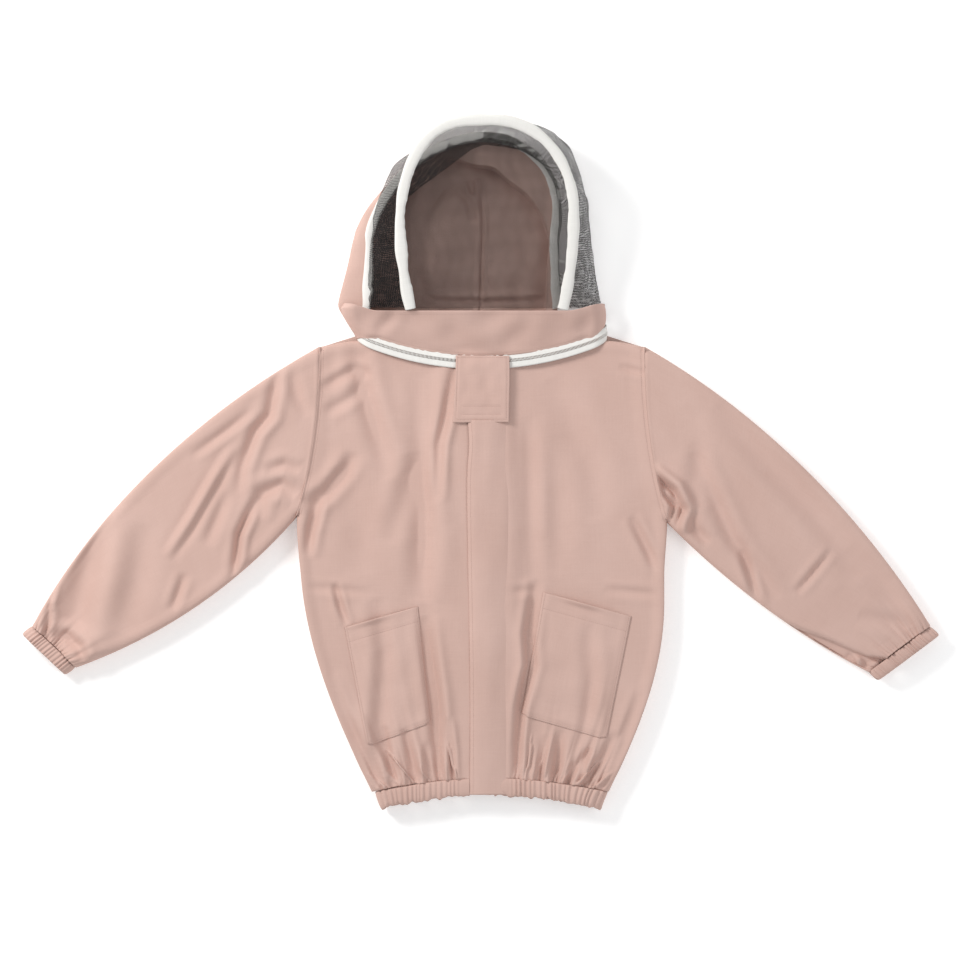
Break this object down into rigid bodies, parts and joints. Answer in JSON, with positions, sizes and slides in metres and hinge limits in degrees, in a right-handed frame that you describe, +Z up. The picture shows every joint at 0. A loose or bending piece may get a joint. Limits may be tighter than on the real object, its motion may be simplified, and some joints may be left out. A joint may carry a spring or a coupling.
{
  "type": "beekeeping jacket",
  "caption": "Hooded beekeeping jacket laid flat: cotton body, elasticated hem and cuffs, front zip under a placket, two patch pockets, veil on folding hoops.",
  "frame": {"origin": "under the middle of the jacket as it lies, on the surface it lies on", "axes": "+X towards the wearer's left cuff, +Y from the hem to the hood, +Z up from the surface"},
  "size_m": [1.5048, 1.1322, 0.1353],
  "materials": {
    "cotton": "dusty pink woven cotton",
    "net": "open black polyester net",
    "binding": "white woven binding tape",
    "hoop_wire": "spring steel wire",
    "elastic": "woven elastic",
    "zip_metal": "white enamelled zinc",
    "zip_teeth": "moulded white plastic",
    "zip_tape": "white woven tape",
    "touch_tape": "touch fastener"
  },
  "bodies": {
    "torso": {"back_panel": "cotton", "front_panel_right": "cotton", "front_panel_left": "cotton", "pocket_right": "cotton", "pocket_left": "cotton", "hem_casing_right": "cotton", "hem_casing_left": "cotton", "hem_casing_back": "cotton", "hem_elastic": "elastic", "front_zip_tape_right": "zip_tape", "front_zip_tape_left": "zip_tape", "front_zip_teeth_right": "zip_teeth", "front_zip_teeth_left": "zip_teeth", "front_zip_stop_right": "zip_teeth", "front_zip_stop_left": "zip_teeth", "front_zip_bottom_box": "zip_teeth", "loop_patch_right": "touch_tape", "loop_patch_left": "touch_tape", "neck_zip_tape_lower": "zip_tape", "neck_zip_tape_upper": "zip_tape", "neck_zip_teeth_lower": "zip_teeth", "neck_zip_teeth_upper": "zip_teeth", "neck_zip_stop_right": "zip_teeth", "neck_zip_stop_left": "zip_teeth", "chin_band": "cotton", "collar_back": "cotton"},
    "placket": {"placket": "cotton"},
    "neck_flap": {"neck_flap": "cotton", "hook_patch_right": "touch_tape", "hook_patch_left": "touch_tape"},
    "front_slider": {"front_zip_slider": "zip_metal"},
    "front_pull": {"front_zip_pull": "zip_metal"},
    "neck_slider_right": {"neck_zip_slider_right": "zip_metal"},
    "neck_pull_right": {"neck_zip_pull_right": "zip_metal"},
    "neck_slider_left": {"neck_zip_slider_left": "zip_metal"},
    "neck_pull_left": {"neck_zip_pull_left": "zip_metal"},
    "sleeve_right": {"sleeve_upper_right": "cotton", "sleeve_under_right": "cotton", "cuff_casing_right": "cotton", "cuff_elastic_right": "elastic"},
    "sleeve_left": {"sleeve_upper_left": "cotton", "sleeve_under_left": "cotton", "cuff_casing_left": "cotton", "cuff_elastic_left": "elastic"},
    "hood": {"hood_back_right": "cotton", "hood_back_left": "cotton", "rear_hoop_binding": "binding", "rear_hoop_wire": "hoop_wire", "side_net": "net"},
    "front_hoop": {"front_hoop_binding": "binding", "front_hoop_wire": "hoop_wire", "face_net": "net"}
  },
  "joints": [
    {"name": "sleeve_fold_right", "type": "hinge", "parent": "torso", "child": "sleeve_right", "pos_m": [-0.286, 0.04988, 0.0365], "axis": [0.1308, 0.9914, 0], "range_deg": [0, 150]},
    {"name": "sleeve_fold_left", "type": "hinge", "parent": "torso", "child": "sleeve_left", "pos_m": [0.286, 0.04988, 0.0365], "axis": [0.1308, -0.9914, 0], "range_deg": [0, 165]},
    {"name": "hood_fold", "type": "hinge", "parent": "torso", "child": "hood", "pos_m": [0, 0.26088, 0.06], "axis": [1, 0, 0], "range_deg": [0, 90]},
    {"name": "front_hoop_fold", "type": "hinge", "parent": "hood", "child": "front_hoop", "pos_m": [0.007, 0.26388, 0.062], "axis": [1, 0, 0], "range_deg": [-12, 12], "deforming": ["side_net"]},
    {"name": "placket_open", "type": "hinge", "parent": "torso", "child": "placket", "pos_m": [0.034, -0.23612, 0.0384], "axis": [0, 1, 0], "range_deg": [0, 150]},
    {"name": "neck_flap_open", "type": "hinge", "parent": "torso", "child": "neck_flap", "pos_m": [0, 0.18188, 0.0424], "axis": [-1, 0, 0], "range_deg": [0, 100]},
    {"name": "front_zip_slide", "type": "slide", "parent": "torso", "child": "front_slider", "axis": [0, -1, 0], "range_m": [0, 0.655]},
    {"name": "front_pull_flip", "type": "hinge", "parent": "front_slider", "child": "front_pull", "pos_m": [0, 0.13548, 0.0376], "axis": [-1, 0, 0], "range_deg": [0, 120]},
    {"name": "neck_zip_slide_right", "type": "hinge", "parent": "torso", "child": "neck_slider_right", "pos_m": [0, 0.68488, 0.036], "axis": [0, 0, -1], "range_deg": [0, 17]},
    {"name": "neck_zip_slide_left", "type": "hinge", "parent": "torso", "child": "neck_slider_left", "pos_m": [0, 0.68488, 0.036], "axis": [0, 0, 1], "range_deg": [0, 17]},
    {"name": "neck_pull_flip_right", "type": "hinge", "parent": "neck_slider_right", "child": "neck_pull_right", "pos_m": [-0.016, 0.17013, 0.0376], "axis": [0.0311, 0.9995, 0], "range_deg": [0, 40]},
    {"name": "neck_pull_flip_left", "type": "hinge", "parent": "neck_slider_left", "child": "neck_pull_left", "pos_m": [0.016, 0.17013, 0.0376], "axis": [0.0311, -0.9995, 0], "range_deg": [0, 40]}
  ],
  "couplings": [
    {"joint": "front_pull_flip", "follows": "neck_flap_open", "ratio": 1.2},
    {"joint": "neck_pull_flip_right", "follows": "neck_flap_open", "ratio": 0.4},
    {"joint": "neck_pull_flip_left", "follows": "neck_flap_open", "ratio": 0.4}
  ]
}
